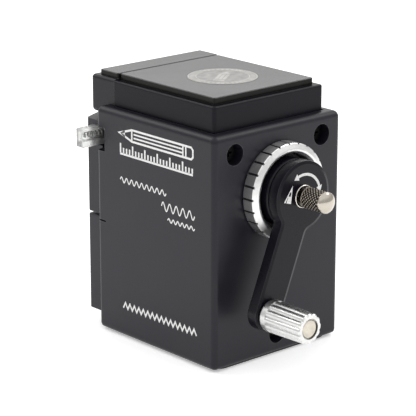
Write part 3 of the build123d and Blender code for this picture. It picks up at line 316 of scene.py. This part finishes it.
def make_looks():
    """One finish for each material slot of the record, and the ink."""
    along_y = (1.0, 0.06, 1.0)
    around_y = (1.0, 8.0, 1.0)
    return {
        "body_plastic": moulded("body_plastic", (0.0072, 0.0068, 0.0115), 0.40, specular=0.31),
        "hood_plastic": moulded("hood_plastic", (0.0052, 0.0049, 0.0078), 0.34, specular=0.12,
                                edge_wear_and_highlight=0.10, edge=0.5),
        "block_plastic": moulded("block_plastic", (0.0062, 0.0059, 0.0086), 0.38, specular=0.22),
        "inner_plastic": moulded("inner_plastic", (0.008, 0.008, 0.009), 0.55, 1.2, 0.016, 0.3),
        "crank_plastic": moulded("crank_plastic", (0.0046, 0.0041, 0.0070), 0.28, 0.7, 0.005, 0.18, 0.03),
        "tile_plastic": tile_finish(),
        "clear_plastic": clear_plastic(),
        "mat_rubber": rubber(),
        "print_ink": ink(),
        "foil": metal("foil", (0.42, 0.41, 0.39), 0.42),
        "foil_dull": metal("foil_dull", (0.25, 0.245, 0.235), 0.38),
        "silver_metal": metal("silver_metal", (0.83, 0.83, 0.82), 0.30, around_y, 0.006, 0.86),
        "chrome_metal": metal("chrome_metal", (0.70, 0.70, 0.69), 0.27, along_y, 0.0005, 0.94, False),
        # The dark colour of these bands is painted shade: in the ring's tooth grooves, and in the bush round
        # the adjuster.
        "ring_metal": banded("ring_metal", (0.83, 0.83, 0.82), 0.36, around_y, (0.10, 0.10, 0.11),
                             [(19.8, 20.45, 38.5, 43.9)]),
        "bush_nickel": banded("bush_nickel", (0.74, 0.70, 0.63), 0.22, around_y, (0.02, 0.018, 0.016),
                              [(3.9, 4.62, 53.0, 54.0)]),
        "nickel_knurled": knurled_nickel(),
        "nickel": metal("nickel", (0.78, 0.74, 0.67), 0.20, around_y, 0.004),
        "cast_zinc": metal("cast_zinc", (0.50, 0.50, 0.50), 0.48, None, 0.03),
        "pin_steel": metal("pin_steel", (0.60, 0.56, 0.48), 0.30, around_y, 0.004),
        # Screw colour near black: painted shade, so the screw holes read as wholly dark.
        "screw_steel": metal("screw_steel", (0.014, 0.014, 0.015), 0.5, around_y, 0.006),
        "slider_steel": metal("slider_steel", (0.16, 0.16, 0.155), 0.38, along_y, 0.004),
        "spring_steel": metal("spring_steel", (0.30, 0.30, 0.29), 0.30, along_y, 0.004),
        "tool_steel": metal("tool_steel", (0.42, 0.42, 0.43), 0.30, along_y, 0.008),
        "bronze": metal("bronze", (0.55, 0.38, 0.18), 0.42, None, 0.012),
    }


def finish_node(node, look):
    """Gives a carried-over node its finish."""
    mesh = nodes[node].data
    mesh.materials.clear()
    mesh.materials.append(look)


looks = make_looks()
own_looks = {
    "rear_hood": "hood_plastic",
    "grip_block": "block_plastic",
    "lock_ring": "ring_metal",
    "adjuster_bush": "bush_nickel",
    "clamp_slider_right": "slider_steel",
    "clamp_slider_left": "slider_steel",
}
for entry in frame["record"]["subparts"]:
    finish_node(entry["node"], looks[own_looks.get(entry["node"], entry["material_slot"])])


# ---------------------------------------------------------------- meshes
def piece(name, verts, faces, body, look, smooth_angle=None):
    """A mesh piece in millimetres that rides on a body and takes its finish from a slot."""
    mesh = bpy.data.meshes.new(name)
    mesh.from_pydata([tuple(c * MM for c in v) for v in verts], [], faces)
    work = bmesh.new()
    work.from_mesh(mesh)
    bmesh.ops.remove_doubles(work, verts=work.verts, dist=1e-7)
    bmesh.ops.recalc_face_normals(work, faces=work.faces)
    work.to_mesh(mesh)
    work.free()
    mesh.materials.append(looks[look])
    obj = bpy.data.objects.new(name, mesh)
    bpy.context.scene.collection.objects.link(obj)
    if smooth_angle is not None:
        mesh.shade_smooth()
        mesh.set_sharp_from_angle(angle=radians(smooth_angle))
    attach(obj, body)
    return obj


def lathe(profile, segments, wobble=None):
    """Rings about the crank axis from a closed loop of (y, radius); a radius of nought is a point."""
    verts, rings = [], []
    for y, radius in profile:
        count = segments if radius > 0 else 1
        start = len(verts)
        for i in range(count):
            turn = 2 * pi * i / segments
            r = radius if wobble is None else wobble(y, radius, turn)
            verts.append((r * cos(turn), y, AXIS_Z + r * sin(turn)))
        rings.append((start, count))
    faces = []
    for (a, n), (b, m) in zip(rings, rings[1:] + rings[:1]):
        if n == 1 and m == 1:
            continue
        for i in range(segments):
            j = (i + 1) % segments
            if n == 1:
                faces.append((a, b + i, b + j))
            elif m == 1:
                faces.append((a + i, b, a + j))
            else:
                faces.append((a + i, b + i, b + j, a + j))
    return verts, faces


def stroke(points, width, closed=False):
    """Left and right edges of a line of even width, with mitred corners."""
    sides = []
    last = len(points) - 1
    for i, (u, v) in enumerate(points):
        before = points[i - 1] if i > 0 or closed else None
        after = points[(i + 1) % len(points)] if i < last or closed else None
        steps = []
        for first, second in ((before, (u, v)), ((u, v), after)):
            if first is None or second is None:
                continue
            length = hypot(second[0] - first[0], second[1] - first[1])
            steps.append(((second[0] - first[0]) / length, (second[1] - first[1]) / length))
        along = (sum(s[0] for s in steps), sum(s[1] for s in steps))
        size = max(hypot(*along), 0.2)
        normal = (-along[1] / size, along[0] / size)
        spread = width / size if len(steps) == 2 else width / 2
        sides.append(((u + normal[0] * spread, v + normal[1] * spread),
                      (u - normal[0] * spread, v - normal[1] * spread)))
    return sides


class Print:
    """Marks of thin ink on a flat face: strokes and filled shapes, laid down as closed slabs."""

    def __init__(self, to_space, thickness=0.03, sunk=0.01):
        self.to_space = to_space
        self.levels = (-sunk, thickness)
        self.verts = []
        self.faces = []

    def slab(self, outline):
        """A filled convex outline."""
        start, n = len(self.verts), len(outline)
        for level in self.levels:
            self.verts += [self.to_space(u, v, level) for u, v in outline]
        self.faces.append(tuple(range(start + n - 1, start - 1, -1)))
        self.faces.append(tuple(range(start + n, start + 2 * n)))
        for i in range(n):
            j = (i + 1) % n
            self.faces.append((start + i, start + j, start + n + j, start + n + i))

    def line(self, points, width, closed=False):
        """A stroke: one closed ribbon."""
        sides = stroke(points, width, closed)
        start, n = len(self.verts), len(sides)
        for level in self.levels:
            for left, right in sides:
                self.verts.append(self.to_space(*left, level))
                self.verts.append(self.to_space(*right, level))
        upper = 2 * n
        for i in range(n if closed else n - 1):
            a, b = start + 2 * i, start + 2 * ((i + 1) % n)
            self.faces.append((a + 1, a, b, b + 1))
            self.faces.append((a + upper, a + upper + 1, b + upper + 1, b + upper))
            self.faces.append((a, a + upper, b + upper, b))
            self.faces.append((a + upper + 1, a + 1, b + 1, b + upper + 1))
        if not closed:
            for a in (start, start + 2 * (n - 1)):
                self.faces.append((a, a + 1, a + 1 + upper, a + upper))

    def arc(self, middle, radius, start, end, width, steps=24):
        """Part of a ring, in degrees; a full turn is closed."""
        full = abs(end - start) >= 360
        count = steps if full else steps + 1
        turns = [radians(start + (end - start) * i / steps) for i in range(count)]
        points = [(middle[0] + radius * cos(t), middle[1] + radius * sin(t)) for t in turns]
        self.line(points, width, full)

    def done(self, name, body, look="print_ink"):
        """Makes the piece."""
        return piece(name, self.verts, self.faces, body, look)


# ---------------------------------------------------------------- knurled adjuster
def knurl(y, radius, turn):
    """Radius of the knob with a diamond pattern cut between its two ends."""
    if radius < KNOB - 0.01 or not KNURL_START <= y <= KNURL_END:
        return radius
    fade = min(1.0, (y - KNURL_START) / KNURL_FADE, (KNURL_END - y) / KNURL_FADE)
    first = abs(sin(KNURL_TEETH / 2 * turn + pi * KNURL_TEETH * y / KNURL_LEAD))
    second = abs(sin(KNURL_TEETH / 2 * turn - pi * KNURL_TEETH * y / KNURL_LEAD))
    cut = 1.0 - min(1.0, 1.15 * min(first, second))
    return radius - KNURL_DEPTH * max(0.0, fade) * cut


def make_adjuster():
    """The adjuster: shank with a bore, dark neck, diamond-knurled grip and polished dome."""
    rise = KNOB_END_Y - RIM_Y
    dome = (KNOB**2 + rise**2) / (2 * rise)
    half = asin(KNOB / dome)
    grip = KNURL_END - KNURL_START
    profile = [(SHANK_START, BORE), (SHANK_START, SHANK), (NECK_START, SHANK)]
    profile += [(NECK_START, NECK - 0.15), (NECK_START + 0.15, NECK), (NECK_END, NECK)]
    profile += [(FLARE_START, NECK + 0.5), (FLARE_END, KNOB)]
    profile += [(KNURL_START + grip * i / KNURL_ROWS, KNOB) for i in range(KNURL_ROWS + 1)]
    profile += [(RIM_Y - 0.25, KNOB)]
    for i in range(1, DOME_ROWS + 1):
        angle = half * (1 - i / DOME_ROWS)
        radius = dome * sin(angle) if i < DOME_ROWS else 0.0
        profile.append((KNOB_END_Y - dome * (1 - cos(angle)), radius))
    profile += [(BORE_END, 0.0), (BORE_END, BORE)]
    verts, faces = lathe(profile, KNURL_TEETH * 8, knurl)
    made = piece("adjuster_knurled", verts, faces, "adjuster", "nickel_knurled", 40)
    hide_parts("adjuster_knob")


# ---------------------------------------------------------------- printed marks
def on_side(u, v, level):
    """The +X face of the housing, by (y, z)."""
    return (HOUSING_SIDE_X + level, u, v)


def on_hub(u, v, level):
    """The front face of the crank's disc, by (x, height over the axis)."""
    return (u, HUB_FACE_Y + level, AXIS_Z + v)


def on_emblem(u, v, level):
    """The top of the emblem disc, by (x, y)."""
    return (u, v, EMBLEM_TOP_Z + level)


def make_side_marks():
    """Line art on the side: a pencil over a ruler, three wavy lines, and a zigzag rule."""
    marks = Print(on_side)
    top, bottom = PENCIL_TOP, PENCIL_BOTTOM
    middle = (top + bottom) / 2
    outline = [(PENCIL_TIP, middle), (CONE_END, top), (PENCIL_END - 1, top), (PENCIL_END, top - 1),
               (PENCIL_END, bottom + 1), (PENCIL_END - 1, bottom), (CONE_END, bottom)]
    marks.line(outline, 0.9, closed=True)
    for height in (top - 1.7, bottom + 1.7):
        marks.line([(-12.8, height), (18.4, height)], 0.7)
    marks.line([(CONE_END, bottom + 0.4), (CONE_END, top - 0.4)], 0.9)
    marks.slab([(-21.6, middle), (-18.6, middle + 1.6), (-18.6, middle - 1.6)])
    for y in (18.8, 20.6):
        marks.line([(y, bottom + 0.4), (y, top - 0.4)], 0.8)
    marks.line([(PENCIL_TIP, RULER_BASE), (PENCIL_END, RULER_BASE)], 0.9)
    for i in range(RULER_TICKS):
        y = -21.6 + 46.2 * i / (RULER_TICKS - 1)
        marks.line([(y, 83.7), (y, 88.0 if i % 4 == 0 else 86.2)], 0.9)
    marks.done("side_line_art", "housing")

    # Each wavy line: its ends along y, its height, half its swing and its number of waves.
    script = Print(on_side)
    for start, end, level, height, waves in (
        (-22.0, 8.0, 71.9, 1.1, 9.0),
        (5.0, 26.0, 66.0, 1.8, 5.0),
        (9.0, 26.0, 60.6, 0.8, 6.0),
    ):
        steps = int(waves * 14)
        points = []
        for i in range(steps + 1):
            t = i / steps
            points.append((start + (end - start) * t, level + height * sin(2 * pi * waves * t)))
        script.line(points, 0.55)
    script.done("side_scribble", "housing")

    rule = Print(on_side)
    teeth = 16
    zigzag = [(-21.0 + 48.0 * i / (2 * teeth), 14.0 + (2.6 if i % 2 else 0.0)) for i in range(2 * teeth + 1)]
    rule.line(zigzag, 0.75)
    rule.done("side_zigzag", "housing")


def make_hub_marks():
    """On the crank's disc: a double-headed arrow round the adjuster, and a small pencil point."""
    arrow = Print(on_hub)
    arrow.arc((0, 0), ARROW_RADIUS, 70, 162, ARROW_WIDTH)
    for angle, way in ((66, -1), (166, 1)):
        t = radians(angle)
        out = (cos(t), sin(t))
        along = (-sin(t) * way, cos(t) * way)
        foot = tuple(ARROW_RADIUS * out[k] - HEAD_BACK * along[k] for k in (0, 1))
        arrow.slab([
            (foot[0] + HEAD_HALF * out[0], foot[1] + HEAD_HALF * out[1]),
            (foot[0] + HEAD_LENGTH * along[0], foot[1] + HEAD_LENGTH * along[1]),
            (foot[0] - HEAD_HALF * out[0], foot[1] - HEAD_HALF * out[1]),
        ])
    arrow.done("hub_arrow", "crank")

    point = Print(on_hub)
    apex, left, right = (6.3, 5.8), (11.2, -0.7), (7.3, -1.9)

    def between(down, over):
        """A spot on the pencil point: down from its apex, over from its left edge to its right."""
        return tuple(apex[k] + down * (left[k] - apex[k] + over * (right[k] - left[k])) for k in (0, 1))

    # Its tip, then patches round the light gaps: from and to down the point, from and to across it.
    point.slab([between(0, 0), between(0.38, 0), between(0.38, 1)])
    for top, bottom, first, last in (
        (0.38, 0.62, 0.0, 0.25),
        (0.38, 0.62, 0.75, 1.0),
        (0.62, 0.70, 0.0, 1.0),
        (0.70, 1.0, 0.0, 0.2),
        (0.70, 1.0, 0.32, 1.0),
    ):
        point.slab([between(top, first), between(bottom, first), between(bottom, last), between(top, last)])
    point.done("hub_pencil_mark", "crank")


def make_emblem():
    """The emblem disc: a plain ring with ticks round a pencil shape, in low relief."""
    middle, radius = EMBLEM_CENTRE, EMBLEM_RADIUS
    turns = [2 * pi * i / EMBLEM_SIDES for i in range(EMBLEM_SIDES)]
    disc = Print(on_emblem, 0.0, 0.36)
    disc.slab([(middle[0] + radius * cos(t), middle[1] + radius * sin(t)) for t in turns])
    base = disc.done("emblem_ground", "housing", "foil_dull")
    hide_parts("emblem_disc")
    relief = Print(on_emblem, 0.04, 0.02)
    for line_radius in (14.6, 11.5):
        relief.arc(middle, line_radius, 0, 360, 0.5, EMBLEM_SIDES)
    pitch = 360 // EMBLEM_TICKS
    for i in range(EMBLEM_TICKS):
        relief.arc(middle, 13.05, pitch * i, pitch * i + 6.2, 1.9, 3)
    turn = radians(EMBLEM_TURN)
    ahead, across = (cos(turn), sin(turn)), (-sin(turn), cos(turn))

    def spot(a, b):
        """A spot on the pencil shape: along it and across it."""
        return (middle[0] + a * ahead[0] + b * across[0], middle[1] + a * ahead[1] + b * across[1])

    relief.slab([spot(-8.5, 0), spot(-4.5, -2.4), spot(-4.5, 2.4)])
    for b in (-1.7, 0.0, 1.7):
        relief.line([spot(-3.9, b), spot(6.0, b)], 1.3)
    relief.slab([spot(6.6, -2.4), spot(8.6, -2.4), spot(8.6, 2.4), spot(6.6, 2.4)])
    relief.done("emblem_relief", "housing", "foil")


make_adjuster()
make_side_marks()
make_hub_marks()
make_emblem()


# ---------------------------------------------------------------- floor, light, camera
def make_floor():
    """A plain pale floor at the standing surface."""
    bpy.ops.mesh.primitive_plane_add(size=6.0, location=(0, 0, 0))
    floor = bpy.context.object
    floor.name = "floor"
    look = Look(
        "floor",
        Base_Color=(0.94, 0.94, 0.94),
        Roughness=0.9,
        Emission_Color=(1.0, 1.0, 1.0),
        Emission_Strength=0.34,
    )
    floor.data.materials.append(look.material)


def soft_light(name, place, size, power, target=(0.0, 0.0, 0.06)):
    """A square soft light that looks at a point on the object."""
    data = bpy.data.lights.new(name, "AREA")
    data.shape = "RECTANGLE"
    data.size, data.size_y = size
    data.energy = power
    light = bpy.data.objects.new(name, data)
    light.location = place
    aim = Vector(target) - Vector(place)
    light.rotation_euler = aim.to_track_quat("-Z", "Y").to_euler()
    bpy.context.scene.collection.objects.link(light)


def make_world(horizon, zenith):
    """A white surround, dimmer towards the horizon."""
    world = bpy.data.worlds.new("surround")
    world.use_nodes = True
    tree = world.node_tree
    background = tree.nodes["Background"]
    background.inputs["Color"].default_value = (1.0, 1.0, 1.0, 1.0)
    direction = tree.nodes.new("ShaderNodeTexCoord").outputs["Generated"]
    split = tree.nodes.new("ShaderNodeSeparateXYZ")
    tree.links.new(direction, split.inputs["Vector"])
    ramp = tree.nodes.new("ShaderNodeMapRange")
    ramp.interpolation_type = "SMOOTHSTEP"
    for socket, value in (("From Min", 0.22), ("From Max", 0.62), ("To Min", horizon), ("To Max", zenith)):
        ramp.inputs[socket].default_value = value
    tree.links.new(split.outputs["Z"], ramp.inputs["Value"])
    tree.links.new(ramp.outputs["Result"], background.inputs["Strength"])
    bpy.context.scene.world = world


def make_camera():
    """The camera: three quarters on the crank side, a little above, with a long lens."""
    azimuth, elevation = radians(138.25), radians(16.66)
    data = bpy.data.cameras.new("camera")
    data.sensor_width = 36.0
    data.lens = 176.6
    data.clip_start, data.clip_end = 0.05, 20.0
    camera = bpy.data.objects.new("camera", data)
    back = Vector((sin(azimuth) * cos(elevation), -cos(azimuth) * cos(elevation), sin(elevation)))
    camera.location = (0.5671, 0.6292, 0.3102)
    camera.rotation_mode = "QUATERNION"
    camera.rotation_quaternion = (-back).to_track_quat("-Z", "Y")
    bpy.context.scene.collection.objects.link(camera)
    bpy.context.scene.camera = camera


make_floor()
make_world(0.66, 1.12)
soft_light("sky_panel", (-1.1, -1.2, 1.0), (1.6, 1.0), 6.0)
soft_light("side_edge_light", (0.35, -0.85, 0.86), (0.5, 0.5), 2.0)
soft_light("crank_edge_light", (-0.78, 0.35, 0.95), (0.45, 0.45), 2.4)
make_camera()
bpy.context.scene.view_settings.view_transform = "Standard"
